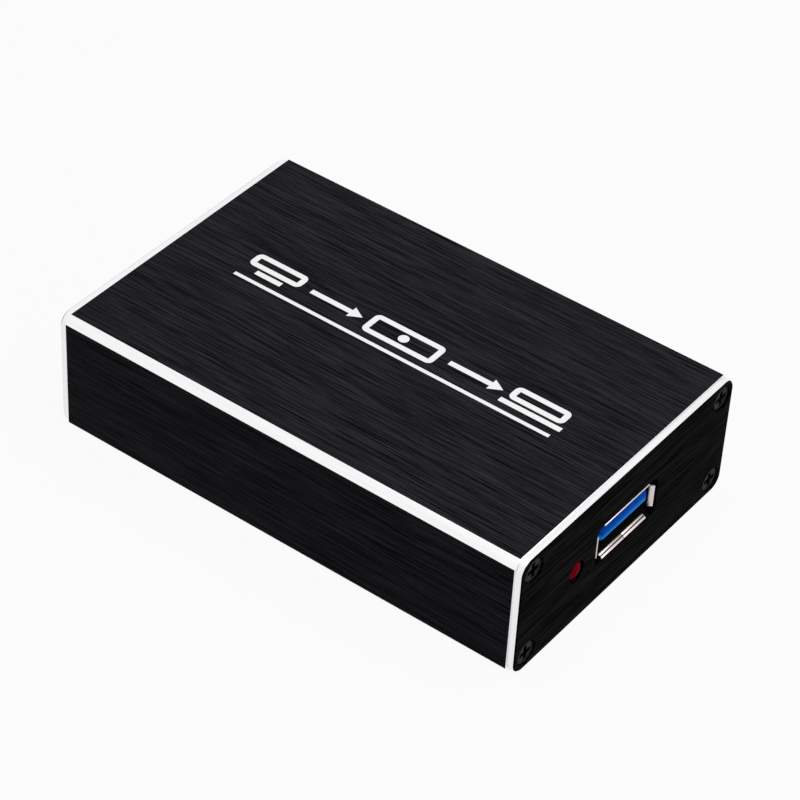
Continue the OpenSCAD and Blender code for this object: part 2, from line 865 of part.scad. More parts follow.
// Places children on the board's top face
module on_board(place) {
    translate([place[0], place[1], board_top]) children();
}

// Moulded chip body that stands off the board by a little
module chip_body(size) {
    translate([-size[0] / 2, -size[1] / 2, chip_standoff])
        cube([size[0], size[1], size[2] - chip_standoff]);
}

// Bent lead that leaves a chip's side at X = 0 and stands on the board
module gull_lead(reach, shoulder, width, thickness) {
    knee = reach * 0.35;
    foot = reach * 0.55;
    along_y(-width / 2, width / 2) polygon([
        [0, shoulder + thickness], [knee, shoulder + thickness], [foot + thickness, thickness],
        [reach, thickness], [reach, 0], [foot, 0], [knee - thickness, shoulder], [0, shoulder]
    ]);
}

// Row of leads on the +X side of a chip
module lead_row(count, pitch, half_body, reach, shoulder, width, thickness) {
    for (i = row_of(count))
        translate([half_body, i * pitch, 0]) gull_lead(reach, shoulder, width, thickness);
}

// Small two-ended part: a body between two slightly larger end caps
module two_ended(size) {
    translate([-size[0] / 2, -size[1] / 2 + end_cap_proud, end_cap_proud])
        cube([size[0], size[1] - 2 * end_cap_proud, size[2] - 2 * end_cap_proud]);
    for (side = [-1, 1])
        translate([side * (size[0] - end_cap) / 2, 0, size[2] / 2])
            cube([end_cap, size[1], size[2]], center = true);
}

module video_receiver_chip() {
    color([0.12, 0.12, 0.13]) on_board(receiver_place)
        chip_body([receiver_width, receiver_width, receiver_height]);
}

module video_receiver_leads() {
    color([0.75, 0.75, 0.76]) on_board(receiver_place) for (turn = [0 : 90 : 270]) rotate([0, 0, turn])
        lead_row(receiver_leads_per_side, receiver_lead_pitch, receiver_width / 2, receiver_lead_reach,
                 receiver_height / 2, receiver_lead_width, receiver_lead_sheet);
}

module data_controller_chip() {
    color([0.12, 0.12, 0.13]) on_board(controller_place)
        translate([0, 0, ball_height + controller_height / 2])
            cube([controller_width, controller_width, controller_height], center = true);
}

module data_controller_balls() {
    places = ball_pitch * row_of(controller_balls_per_side);
    color([0.70, 0.70, 0.70]) on_board(controller_place) for (x = places, y = places)
        translate([x, y, 0]) cylinder(h = ball_height, d = ball_diameter);
}

module program_memory_chip() {
    color([0.12, 0.12, 0.13]) on_board(memory_place) rotate([0, 0, 90]) chip_body(memory_size);
}

module program_memory_leads() {
    color([0.75, 0.75, 0.76]) on_board(memory_place) for (turn = [90, 270]) rotate([0, 0, turn])
        lead_row(memory_leads_per_side, memory_lead_pitch, memory_size[0] / 2, memory_lead_reach,
                 memory_size[2] / 2, memory_lead_width, chip_lead_sheet);
}

module at_surge_chips() {
    for (i = row_of(surge_count)) on_board([surge_x, i * surge_spacing]) children();
}

module surge_protection_chips() {
    color([0.12, 0.12, 0.13]) at_surge_chips() chip_body(surge_size);
}

module surge_protection_leads() {
    color([0.75, 0.75, 0.76]) at_surge_chips() for (turn = [0, 180]) rotate([0, 0, turn])
        lead_row(surge_leads_per_side, surge_lead_pitch, surge_size[0] / 2, surge_lead_reach,
                 surge_size[2] / 2, surge_lead_width, chip_lead_sheet);
}

module at_regulators() {
    for (i = [0, 1]) on_board([regulator_x - i * regulator_spacing, regulator_y]) children();
}

module voltage_regulators() {
    color([0.12, 0.12, 0.13]) at_regulators() chip_body(regulator_size);
}

module voltage_regulator_leads() {
    color([0.75, 0.75, 0.76]) at_regulators() {
        lead_row(regulator_leads, regulator_lead_pitch, regulator_size[0] / 2, regulator_lead_reach,
                 regulator_size[2] / 2, regulator_lead_width, chip_lead_sheet);
        rotate([0, 0, 180]) lead_row(1, 0, regulator_size[0] / 2, regulator_lead_reach,
                                     regulator_size[2] / 2, regulator_tab_width, chip_lead_sheet);
    }
}

// A tall crystal for the receiver and a flat one for the controller
module clock_crystals() {
    color([0.80, 0.80, 0.82]) {
        on_board([receiver_x, crystal_y]) {
            translate([0, 0, crystal_base[2] / 2]) cube(crystal_base, center = true);
            linear_extrude(crystal_base[2] + crystal_can[2])
                rounded_square(crystal_can[0], crystal_can[1], crystal_can[1] / 2 - fit);
        }
        on_board([controller_x, -controller_width / 2 - small_crystal_gap])
            translate([0, 0, small_crystal[2] / 2]) cube(small_crystal, center = true);
    }
}

module power_coils() {
    color([0.22, 0.22, 0.23]) for (i = [0, 1]) on_board([coil_x + i * coil_spacing, coil_y]) difference() {
        linear_extrude(coil_height) rounded_square(coil_width, coil_width, coil_corner);
        translate([0, 0, coil_height - coil_corner / 2]) difference() {
            cylinder(h = coil_height, d = coil_width - 2 * coil_corner);
            cylinder(h = 3 * coil_height, d = coil_core * (coil_width - 2 * coil_corner), center = true);
        }
    }
}

module at_bulk_capacitors() {
    for (i = row_of(2)) on_board([receiver_x + i * can_spacing, can_y]) children();
}

module bulk_capacitor_cans() {
    radius = can_diameter / 2;
    color([0.82, 0.82, 0.84]) at_bulk_capacitors() translate([0, 0, can_base]) rotate_extrude() polygon([
        [0, 0], [radius, 0], [radius, can_groove],
        [radius - can_groove, 2 * can_groove], [radius, 3 * can_groove],
        [radius, can_height - can_groove], [radius - can_groove, can_height], [0, can_height]
    ]);
}

module bulk_capacitor_bases() {
    half = can_diameter / 2 + can_base_proud;
    corner = can_base;
    color([0.12, 0.12, 0.13]) at_bulk_capacitors() linear_extrude(can_base) polygon([
        [-half, -half], [half - corner, -half], [half, corner - half],
        [half, half - corner], [half - corner, half], [-half, half]
    ]);
}

// Capacitors stand in rows along both sides of the two large chips
module ceramic_capacitors() {
    receiver_row = receiver_span / 2 + capacitor_row_gap;
    controller_row = controller_width / 2 + capacitor_row_gap;
    color([0.62, 0.48, 0.34]) {
        for (i = [-2 : 2], side = [-1, 1])
            on_board(receiver_place + [i * small_pitch, side * receiver_row]) two_ended(capacitor_size);
        for (i = [-1 : 1], side = [-1, 1]) {
            on_board(controller_place + [i * small_pitch, side * controller_row]) two_ended(capacitor_size);
            on_board(controller_place + [side * controller_row, i * small_pitch])
                rotate([0, 0, 90]) two_ended(capacitor_size);
        }
    }
}

module chip_resistors() {
    row_y = crystal_y - resistor_row_gap;
    color([0.10, 0.10, 0.11]) for (i = row_of(resistor_count))
        on_board([receiver_x + i * small_pitch, row_y]) two_ended(resistor_size);
}

module ferrite_beads() {
    color([0.30, 0.29, 0.28]) for (i = [0 : 2])
        on_board([coil_x + i * small_pitch, coil_y - coil_width / 2 - bead_row_gap]) two_ended(bead_size);
}

body_sleeve();
output_end_plate();
input_end_plate();
output_plate_screws();
input_plate_screws();
main_board();
output_socket_shell();
output_socket_tongue();
output_data_contacts();
output_fast_contacts();
input_socket_shell();
input_socket_tongue();
input_upper_contacts();
input_lower_contacts();
status_lamp();
status_lamp_leads();
video_receiver_chip();
video_receiver_leads();
data_controller_chip();
data_controller_balls();
program_memory_chip();
program_memory_leads();
surge_protection_chips();
surge_protection_leads();
voltage_regulators();
voltage_regulator_leads();
clock_crystals();
power_coils();
bulk_capacitor_cans();
bulk_capacitor_bases();
ceramic_capacitors();
chip_resistors();
ferrite_beads();
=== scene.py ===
"""Looks of the video capture box: sleeve, end plates, screws, sockets, lamp, board, marking and stage."""

import math
from collections import namedtuple

import bmesh
import bpy
from bpy.props import FloatProperty, FloatVectorProperty, IntProperty, PointerProperty
from mathutils import Matrix, Vector


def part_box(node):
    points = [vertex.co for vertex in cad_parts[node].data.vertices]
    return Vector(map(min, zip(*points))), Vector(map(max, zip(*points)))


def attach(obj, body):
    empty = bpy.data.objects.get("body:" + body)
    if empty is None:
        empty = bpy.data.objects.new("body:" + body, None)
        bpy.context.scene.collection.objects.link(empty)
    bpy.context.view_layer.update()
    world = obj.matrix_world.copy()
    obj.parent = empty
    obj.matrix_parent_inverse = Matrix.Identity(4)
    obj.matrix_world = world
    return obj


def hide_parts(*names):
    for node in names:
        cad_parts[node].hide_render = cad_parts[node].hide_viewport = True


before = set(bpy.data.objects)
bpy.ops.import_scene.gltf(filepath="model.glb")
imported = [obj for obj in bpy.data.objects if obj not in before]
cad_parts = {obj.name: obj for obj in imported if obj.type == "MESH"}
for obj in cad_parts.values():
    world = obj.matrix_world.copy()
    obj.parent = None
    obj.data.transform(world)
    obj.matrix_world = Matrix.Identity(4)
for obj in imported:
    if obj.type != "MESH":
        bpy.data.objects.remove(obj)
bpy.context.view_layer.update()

bl_info = {
    "name": "Video capture box",
    "version": (1, 0, 0),
    "blender": (4, 5, 0),
    "location": "3D View > Sidebar > Capture box",
    "description": "Dresses the pieces of a video capture box and lights them on a white floor",
    "category": "Object",
}

MM = 0.001
BODY = "root"
ALONG_X = 0
ALONG_Y = 1

# Limits for merging corners, joining flat faces, keeping edges sharp and taking two places as one
MERGE_DISTANCE = 0.0002 * MM
FLAT_ANGLE = math.radians(0.5)
SHARP_ANGLE = math.radians(35)
SAME_PLACE = 0.02 * MM

# Limits for a part of a face's normal: all parts of a slanted face are under the first, a face that looks
# along an axis is over the second, and one that stands edgewise to it is under the third
SLANTED = 0.8
SQUARE_ON = 0.9
EDGEWISE = 0.3

# Pattern cells per metre
BRUSH_ALONG = 90.0
CUTTER_LINES = 7000.0
METAL_GRAIN = 5000.0
MOULDED_GRAIN = 9000.0
RESIN_GRAIN = 4000.0
INK_GRAIN = 6000.0
TRACK_CELLS = (230.0, 310.0, 310.0)

# Turn of the noise after its stretch, so that the rows of its grid don't show in the brush lines
GRID_TURN = (0.6, 0.4, 0.9)

# Finishes: roughness in the valleys and on the peaks of the pattern, specular level, and brightness of the
# uneven spots against the plain colour
Finish = namedtuple("Finish", "valley peak gloss tone", defaults=(0.5, 1.0))
SLEEVE_BLACK = Finish(valley=0.50, peak=0.36, gloss=0.004)
PLATE_BLACK = Finish(valley=0.50, peak=0.36, gloss=0.002)
BRIGHT_CUT = Finish(valley=0.17, peak=0.26, tone=0.93)
OXIDE = Finish(valley=0.30, peak=0.42, gloss=0.03, tone=1.5)
RECESS = Finish(valley=0.50, peak=0.60, gloss=0.0)
NICKEL = Finish(valley=0.36, peak=0.42, gloss=0.0)
GOLD = Finish(valley=0.16, peak=0.28, tone=0.88)
BLUE = Finish(valley=0.35, peak=0.45, gloss=0.01)
BLACK = Finish(valley=0.35, peak=0.50, gloss=0.2, tone=1.4)
RESIN = Finish(valley=0.08, peak=0.14, gloss=0.002)
MASK = Finish(valley=0.30, peak=0.38)
CHIP = Finish(valley=0.50, peak=0.65, gloss=0.35, tone=0.75)
COAT = Finish(valley=0.30, peak=0.40, gloss=0.45, tone=0.75)
FERRITE = Finish(valley=0.55, peak=0.70, gloss=0.3, tone=0.7)
CERAMIC = Finish(valley=0.40, peak=0.50, gloss=0.4, tone=0.85)
TIN = Finish(valley=0.25, peak=0.40, tone=0.88)
CAN = Finish(valley=0.30, peak=0.42, tone=0.88)
INK = Finish(valley=0.45, peak=0.60, gloss=0.3, tone=0.93)

# Bumps of the patterns
Bump = namedtuple("Bump", "strength height")
BRUSH_BUMP = Bump(strength=0.12, height=0.02 * MM)
METAL_BUMP = Bump(strength=0.04, height=0.01 * MM)
MOULDED_BUMP = Bump(strength=0.08, height=0.01 * MM)
TRACK_BUMP = Bump(strength=0.10, height=0.03 * MM)


# Property helpers, one for each kind of setting

def length(name, description, millimetres):
    return FloatProperty(name=name, description=description, default=millimetres * MM, unit="LENGTH",
                         subtype="DISTANCE", precision=5)


def camera_length(name, description, millimetres):
    return FloatProperty(name=name, description=description, default=millimetres, min=1.0, unit="CAMERA",
                         subtype="DISTANCE_CAMERA")


def colour(name, description, value):
    return FloatVectorProperty(name=name, description=description, default=value, size=3, subtype="COLOR",
                               min=0.0, max=1.0)


def angle(name, description, degrees):
    return FloatProperty(name=name, description=description, default=math.radians(degrees), unit="ROTATION",
                         subtype="ANGLE")


def place(name, description, metres):
    return FloatVectorProperty(name=name, description=description, default=metres, size=3, unit="LENGTH",
                               subtype="TRANSLATION")


def power(name, description, watts):
    return FloatProperty(name=name, description=description, default=watts, min=0.0, unit="POWER")


def share(name, description, value):
    return FloatProperty(name=name, description=description, default=value, min=0.0, max=1.0,
                         subtype="FACTOR")


def amount(name, description, value):
    return FloatProperty(name=name, description=description, default=value, min=0.0, subtype="UNSIGNED")


def steps(name, description, value):
    return IntProperty(name=name, description=description, default=value, min=1, subtype="UNSIGNED")


# Settings

class SleeveSettings(bpy.types.PropertyGroup):
    """Finish of the extruded sleeve"""
    dark: colour("Dark lines", "Black anodised face between the brush lines", (0.0009, 0.0009, 0.0011))
    light: colour("Light lines", "Black anodised face on the brush lines", (0.0265, 0.0257, 0.0322))
    lines: amount("Brush lines", "Pattern cells per metre across the brushing", 10000.0)
    dark_share: share("Dark share", "Share of the lines' range that stays quite dark", 0.0)
    bright: colour("Bright cut", "Bare aluminium of the cut bevels and ends", (0.93, 0.93, 0.94))
    edge_round: length("Edge rounding", "Small rounding along the outer edges", 0.05)
    outer_zone: length("Outer zone", "Depth under the outline that counts as outside", 1.3)


class PlateSettings(bpy.types.PropertyGroup):
    """Finish of the two end plates"""
    dark: colour("Dark lines", "Black anodised face between the brush lines", (0.0002, 0.0002, 0.0002))
    light: colour("Light lines", "Black anodised face on the brush lines", (0.0080, 0.0080, 0.0080))
    lines: amount("Brush lines", "Pattern cells per metre across the brushing", 3500.0)
    dark_share: share("Dark share", "Share of the lines' range that stays quite dark", 0.3)
    bright: colour("Bright rim", "Bare aluminium of the plates' edges", (0.89, 0.89, 0.90))
    corner: length("Corner radius", "Radius of the plates' corners", 2.0)
    rim: length("Rim depth", "Depth under the outline that is bare metal", 0.05)


class ScrewSettings(bpy.types.PropertyGroup):
    """Shape and finish of the countersunk screws"""
    oxide: colour("Black oxide", "Colour of the screws", (0.007, 0.007, 0.0075))
    shade: colour("Recess", "Cross recess, where hardly any light comes", (0.0004, 0.0004, 0.0004))
    recess_mouth: amount("Recess mouth", "Worn width of the recess's mouth against its cut", 1.2)
    recess_reach: length("Recess reach", "Radius round the axis that the recess stays in", 1.3)
    recess_depth: length("Recess depth", "Depth of the cross recess before it is drawn in", 0.5)
    recess_draw: length("Recess draw", "How much deeper the drawn-in floor lies", 0.5)
    recess_taper: share("Recess taper", "Size of the recess floor against its cut", 0.7)
    edge_round: length("Edge rounding", "Rounding of the head's rim and the recess", 0.05)


class SocketSettings(bpy.types.PropertyGroup):
    """Finish of the two cable sockets"""
    shell: colour("Plated shell", "Nickel plate on the shells", (0.68, 0.60, 0.60))
    # Painted reflections: the pale band on the lower lips' bend and the dark line along it stand for the
    # polished bend mirroring the room and the dark cut-out, not for wear
    painted_bend_light: colour("Painted bend light", "Plate on the bend behind the lips, where plugs rub", (0.66, 0.61, 0.52))
    painted_dark_line: colour("Painted line", "Dark line along the bend of the lips", (0.03, 0.022, 0.02))
    # Painted shade: the shells are made dark behind the mouth, where little light reaches
    shade: colour("Shaded shell", "Shells behind the mouth, in hardly any light", (0.006, 0.006, 0.006))
    shade_depth: length("Shade depth", "From the end plate's face to where the shells are dark", 1.1)
    dark_to: share("Dark to", "Share of the shade depth, from inside, that stays dark", 0.30)
    plate_from: share("Plate from", "Share of the shade depth where the plate is bright", 0.35)
    # Shares and height that place the painted reflections, which only the lower lips carry
    painted_line_from: share("Crease from", "Share of the shade depth where the crease begins", 0.59)
    painted_line_to: share("Crease to", "Share of the shade depth where the crease ends", 0.71)
    painted_line_fade: share("Crease fade", "Share of the shade depth over which the crease fades", 0.04)
    painted_lip_top: length("Crease top", "Height over the underside up to which the lips are creased", 7.9)
    blue: colour("Blue moulding", "Tongue of the output socket", (0.004, 0.240, 0.820))
    blue_deep: colour("Deep blue", "Blue moulding in the shade of the shell's roof", (0.0006, 0.056, 0.390))
    deep_from: length("Deep blue from", "Height over the underside where the shade begins", 10.85)
    deep_fade: length("Deep blue fade", "Height over which the shade grows", 0.4)
    deep_least: share("Deep blue least", "Least strength of the shade in its uneven spots", 0.85)
    black: colour("Black moulding", "Tongue of the input socket", (0.012, 0.012, 0.013))
    gold: colour("Gold flash", "Contact strips", (0.82, 0.60, 0.26))
    sheet_round: length("Sheet rounding", "Rounding of the shells' sheet edges", 0.03)
    tongue_round: length("Tongue rounding", "Rounding of the tongues' edges", 0.06)


class LampSettings(bpy.types.PropertyGroup):
    """Shape and finish of the status lamp"""
    # Painted light: the resin is lighter round the dome's foot, where light gathers in the clear dome, and
    # darker at the tip; these colours stand for that light and shade, not for a change in the resin
    resin: colour("Lit resin", "Colour of the resin round the dome's foot", (0.42, 0.0006, 0.007))
    deep: colour("Shaded resin", "Colour of the resin at the lamp's tip", (0.09, 0.0001, 0.007))
    deep_least: share("Shaded resin least", "Least strength of the deep colour in its uneven spots", 0.8)
    radius: length("Radius", "Radius of the lamp's dome", 1.5)
    dome: length("Dome", "Height of the lamp's blunt dome", 0.75)
    flange: length("Flange", "Thickness of the flange at the lamp's back", 1.0)
    quarter: steps("Quarter steps", "Facets on a quarter turn of the lamp", 12)


class BoardSettings(bpy.types.PropertyGroup):
    """Finish of the circuit board and what it carries"""
    mask: colour("Solder mask", "Board between the copper tracks", (0.012, 0.105, 0.045))
    track: colour("Tracks", "Board over the copper tracks", (0.022, 0.165, 0.072))
    track_gap: amount("Track gap", "Gap between tracks in pattern cells", 0.03)
    track_length: amount("Track length", "Length of a track in pattern cells", 1.9)
    track_pitch: amount("Track pitch", "From one track to the next in pattern cells", 0.16)
    chip: colour("Chip moulding", "Bodies of the chips", (0.022, 0.022, 0.024))
    tin: colour("Tin", "Leads, end caps and solder", (0.62, 0.62, 0.64))
    can: colour("Can", "Drawn aluminium of the cans", (0.74, 0.74, 0.76))
    ferrite: colour("Ferrite", "Coils and beads", (0.060, 0.058, 0.058))
    ceramic: colour("Ceramic", "Bodies of the ceramic capacitors", (0.38, 0.26, 0.15))
    end_cap: length("End cap", "Length of a tinned end on a small part", 0.3)


class MarkingSettings(bpy.types.PropertyGroup):
    """Printed marking on the sleeve's top"""
    ink: colour("Ink", "White printing ink", (0.86, 0.86, 0.86))
    left: length("Left end", "Start of the printed line along X", -26.9)
    right: length("Right end", "End of the printed line along X", 27.1)
    line_place: length("Line place", "Middle of the printed line along Y", -2.1)
    line_width: length("Line width", "Width of the printed line", 0.62)
    sign_base: length("Sign base", "Lower edge of the signs along Y", -0.55)
    sign_height: length("Sign height", "Height of the signs", 4.3)
    stroke: length("Stroke", "Width of the signs' strokes", 0.9)
    screen: amount("Screen", "Width of a screen against the signs' height", 2.1)
    foot: amount("Foot", "Room under a screen against the signs' height", 0.16)
    stand: amount("Stand", "Width of the left screen's stand against the screen", 0.5)
    keyboard: amount("Keyboard", "Width of the right screen's keyboard against the screen", 1.12)
    box: amount("Box", "Width of the box sign against the signs' height", 2.8)
    dot: amount("Dot", "Radius of the box sign's dot against the signs' height", 0.19)
    arrow: amount("Arrow", "Length of an arrow against the gap that it stands in", 0.7)
    arrow_head: amount("Arrow head", "Radius of an arrow's head against the stroke", 1.5)
    corner_steps: steps("Corner steps", "Facets on a rounded corner", 4)
    dot_steps: steps("Dot steps", "Facets round the dot", 32)
    film: length("Film", "Thickness of the ink", 0.012)


class StageSettings(bpy.types.PropertyGroup):
    """Camera, floor and lamps"""
    azimuth: angle("Azimuth", "Camera direction, from the long side towards the output end", 35.06)
    elevation: angle("Elevation", "Camera height above the floor", 40.33)
    roll: angle("Roll", "Turn of the camera about its own axis", 3.42)
    distance: length("Distance", "From the camera to the point it looks at", 426.54)
    aim: place("Aim", "Point that the camera looks at", (0.00077, 0.00063, 0.010))
    lens: camera_length("Lens", "Focal length of the camera", 138.27)
    sensor: camera_length("Sensor", "Width of the camera's sensor", 36.0)
    floor_size: length("Floor size", "Length of each side of the floor", 3000.0)
    floor_drop: length("Floor drop", "Gap between the underside and the floor", 0.05)
    floor_white: share("Floor white", "Share of plain white in the floor as it is seen", 0.93)
    floor_grey: share("Floor grey", "Brightness of the floor as it lights the box", 0.55)
    floor_rough: share("Floor roughness", "Roughness of the floor", 0.9)
    fill: amount("Fill", "Strength of the white room's light", 0.15)
    key: power("Key lamp", "Power of the large lamp overhead", 6.5)
    key_place: place("Key place", "Middle of the large lamp overhead", (0.15, 0.0, 0.75))
    key_size: length("Key size", "Side of the large lamp overhead", 800.0)
    side: power("Side lamp", "Power of the wide lamp beyond the output end", 2.0)
    side_place: place("Side place", "Middle of the wide lamp beyond the output end", (0.9, 0.2, 0.45))
    side_size: length("Side size", "Side of the wide lamp beyond the output end", 900.0)


# Shader nodes

def feed(tree, socket, value):
    """Links an input to a socket, or sets it to a plain number or colour"""
    if isinstance(value, bpy.types.NodeSocket):
        tree.links.new(value, socket)
    elif isinstance(value, (int, float)):
        socket.default_value = value
    else:
        socket.default_value = (*value, 1.0)


def noise(tree, vector, scale, detail, roughness):
    """Noise texture on a vector socket; gives its value socket"""
    node = tree.nodes.new("ShaderNodeTexNoise")
    node.inputs["Scale"].default_value = scale
    node.inputs["Detail"].default_value = detail
    node.inputs["Roughness"].default_value = roughness
    tree.links.new(vector, node.inputs["Vector"])
    return node.outputs["Fac"]


def ranged(tree, value, low, high, to_low=0.0, to_high=1.0):
    """Maps a value from one range to another, held at both ends"""
    node = tree.nodes.new("ShaderNodeMapRange")
    node.inputs["From Min"].default_value = low
    node.inputs["From Max"].default_value = high
    node.inputs["To Min"].default_value = to_low
    node.inputs["To Max"].default_value = to_high
    tree.links.new(value, node.inputs["Value"])
    return node.outputs["Result"]


def mathed(tree, operation, first, second=0.0):
    """Math node on two values, either of which may be a plain number"""
    node = tree.nodes.new("ShaderNodeMath")
    node.operation = operation
    feed(tree, node.inputs[0], first)
    feed(tree, node.inputs[1], second)
    return node.outputs["Value"]


def depth_ramp(tree, depth, stops):
    """Colours at given shares of a depth"""
    node = tree.nodes.new("ShaderNodeValToRGB")
    for depth_share, tone in stops:
        node.color_ramp.elements.new(depth_share).color = (*tone, 1.0)
    node.color_ramp.elements[0].color = (*stops[0][1], 1.0)
    node.color_ramp.elements[-1].color = (*stops[-1][1], 1.0)
    tree.links.new(depth, node.inputs["Fac"])
    return node.outputs["Color"]


def object_vector(tree, scale, turn=(0.0, 0.0, 0.0)):
    """Object coordinates, scaled along each axis and then turned"""
    coordinates = tree.nodes.new("ShaderNodeTexCoord")
    mapping = tree.nodes.new("ShaderNodeMapping")
    mapping.inputs["Scale"].default_value = scale
    mapping.inputs["Rotation"].default_value = turn
    tree.links.new(coordinates.outputs["Object"], mapping.inputs["Vector"])
    return mapping.outputs["Vector"]


def object_parts(tree):
    """Object coordinates, each on its own socket"""
    node = tree.nodes.new("ShaderNodeSeparateXYZ")
    tree.links.new(object_vector(tree, [1.0] * 3), node.inputs["Vector"])
    return node.outputs


# Shader groups

def new_group(name, outputs):
    """Shader group from a vector to plain values; gives the tree, its vector socket and its end node"""
    tree = bpy.data.node_groups.new(name, "ShaderNodeTree")
    tree.interface.new_socket("Vector", in_out="INPUT", socket_type="NodeSocketVector")
    for output in outputs:
        tree.interface.new_socket(output, in_out="OUTPUT", socket_type="NodeSocketFloat")
    start = tree.nodes.new("NodeGroupInput")
    return tree, start.outputs["Vector"], tree.nodes.new("NodeGroupOutput")


def brush_lines_group():
    """Brush lines: fine lines with broader bands, drawn out along the brushing by the vector's scale"""
    found = bpy.data.node_groups.get("Brush lines")
    if found:
        return found
    tree, vector, end = new_group("Brush lines", ["Lines", "Bands"])
    fine_share = 0.94
    fine = ranged(tree, noise(tree, vector, scale=1.0, detail=2.0, roughness=0.75), low=0.41, high=0.59)
    bands = ranged(tree, noise(tree, vector, scale=0.3, detail=1.0, roughness=0.5), low=0.32, high=0.68)
    lines = mathed(tree, "ADD", mathed(tree, "MULTIPLY", fine, fine_share),
                   mathed(tree, "MULTIPLY", bands, 1.0 - fine_share))
    tree.links.new(lines, end.inputs["Lines"])
    tree.links.new(bands, end.inputs["Bands"])
    return tree


def fine_grain_group():
    """Fine grain: small even grain with soft blotches, for moulded and plated surfaces"""
    found = bpy.data.node_groups.get("Fine grain")
    if found:
        return found
    tree, vector, end = new_group("Fine grain", ["Grain", "Blotches"])
    grain = noise(tree, vector, scale=1.0, detail=2.0, roughness=0.5)
    blotches = noise(tree, vector, scale=0.09, detail=3.0, roughness=0.6)
    tree.links.new(ranged(tree, grain, low=0.3, high=0.7), end.inputs["Grain"])
    tree.links.new(ranged(tree, blotches, low=0.32, high=0.68), end.inputs["Blotches"])
    return tree


def placed_group(tree, group, scale):
    """Outputs of a shader group in a material, on scaled object coordinates"""
    node = tree.nodes.new("ShaderNodeGroup")
    node.node_tree = group
    tree.links.new(object_vector(tree, scale, GRID_TURN), node.inputs["Vector"])
    return node.outputs


def brush_of(tree, along, across):
    """Brush lines drawn out along one axis, with so many cells per metre across it"""
    scale = [across] * 3
    scale[along] = BRUSH_ALONG
    return placed_group(tree, brush_lines_group(), scale)


def grain_of(tree, cells):
    """Fine grain with so many cells per metre"""
    return placed_group(tree, fine_grain_group(), [cells] * 3)


# Materials

def new_material(name):
    """Empty material with its tree and shader"""
    material = bpy.data.materials.new(name)
    material.use_nodes = True
    return material, material.node_tree, material.node_tree.nodes["Principled BSDF"]


def toned(plain, tone):
    """A colour made lighter or darker"""
    return [tone * part for part in plain]


def coloured(tree, shader, factor, first, second):
    """Base colour between two colours, each of them plain or from a socket"""
    node = tree.nodes.new("ShaderNodeMix")
    node.data_type = "RGBA"
    feed(tree, node.inputs["A"], first)
    feed(tree, node.inputs["B"], second)
    tree.links.new(factor, node.inputs["Factor"])
    tree.links.new(node.outputs["Result"], shader.inputs["Base Color"])


def shined(tree, shader, pattern, finish):
    """Roughness that follows a pattern, and a plain specular level"""
    roughness = ranged(tree, pattern, 0.0, 1.0, finish.valley, finish.peak)
    tree.links.new(roughness, shader.inputs["Roughness"])
    shader.inputs["Specular IOR Level"].default_value = finish.gloss


def bumped(tree, shader, pattern, bump):
    """Bump that follows a pattern"""
    node = tree.nodes.new("ShaderNodeBump")
    node.inputs["Strength"].default_value = bump.strength
    node.inputs["Distance"].default_value = bump.height
    tree.links.new(pattern, node.inputs["Height"])
    tree.links.new(node.outputs["Normal"], shader.inputs["Normal"])


def brushed_black(name, look, along, finish):
    """Black anodised aluminium, brushed along one axis, with a share of it left quite dark"""
    material, tree, shader = new_material(name)
    lines = brush_of(tree, along, look.lines)["Lines"]
    coloured(tree, shader, ranged(tree, lines, look.dark_share, 1.0), look.dark, look.light)
    shined(tree, shader, lines, finish)
    bumped(tree, shader, lines, BRUSH_BUMP)
    return material


def bright_cut(name, metal, along):
    """Bare aluminium with the faint lines of the cutter"""
    material, tree, shader = new_material(name)
    brush = brush_of(tree, along, CUTTER_LINES)
    coloured(tree, shader, brush["Lines"], toned(metal, BRIGHT_CUT.tone), metal)
    shined(tree, shader, brush["Bands"], BRIGHT_CUT)
    shader.inputs["Metallic"].default_value = 1.0
    return material


def plated_metal(name, metal, finish):
    """Plated sheet or wire with a little uneven shine"""
    material, tree, shader = new_material(name)
    grain = grain_of(tree, METAL_GRAIN)
    coloured(tree, shader, grain["Blotches"], toned(metal, finish.tone), metal)
    shined(tree, shader, grain["Blotches"], finish)
    bumped(tree, shader, grain["Grain"], METAL_BUMP)
    shader.inputs["Metallic"].default_value = 1.0
    return material


def nickel_shell(name, look, face):
    """Nickel plate, bright on the lips, with painted reflections on the lower lips' bend and painted shade
    inside the shell
    """
    material, tree, shader = new_material(name)
    parts = object_parts(tree)
    depth = ranged(tree, mathed(tree, "ABSOLUTE", parts["X"]), face - look.shade_depth, face)
    is_low = ranged(tree, parts["Z"], look.painted_lip_top, look.painted_lip_top - SAME_PLACE)
    # The first ramp paints shade inside and leaves the lips bright; the second adds the painted pale band
    # and dark reflection line of the lower lips' bend
    plain = depth_ramp(tree, depth, (
        (look.dark_to, look.shade),
        (look.plate_from, look.shell),
    ))
    mirror_painted = depth_ramp(tree, depth, (
        (look.dark_to, look.shade),
        (look.plate_from, look.painted_bend_light),
        (look.painted_line_from - look.painted_line_fade, look.painted_bend_light),
        (look.painted_line_from, look.painted_dark_line),
        (look.painted_line_to, look.painted_dark_line),
        (look.painted_line_to + look.painted_line_fade, look.shell),
    ))
    coloured(tree, shader, is_low, plain, mirror_painted)
    # The painted shade inside is not metallic, so it stays dark
    tree.links.new(ranged(tree, depth, look.dark_to, look.plate_from), shader.inputs["Metallic"])
    grain = grain_of(tree, METAL_GRAIN)
    shined(tree, shader, grain["Blotches"], NICKEL)
    bumped(tree, shader, grain["Grain"], METAL_BUMP)
    return material


def moulded(name, first, second, finish):
    """Moulded plastic, ceramic, ferrite or oxide with a fine grain"""
    material, tree, shader = new_material(name)
    grain = grain_of(tree, MOULDED_GRAIN)
    coloured(tree, shader, grain["Blotches"], first, second)
    shined(tree, shader, grain["Grain"], finish)
    bumped(tree, shader, grain["Grain"], MOULDED_BUMP)
    return material


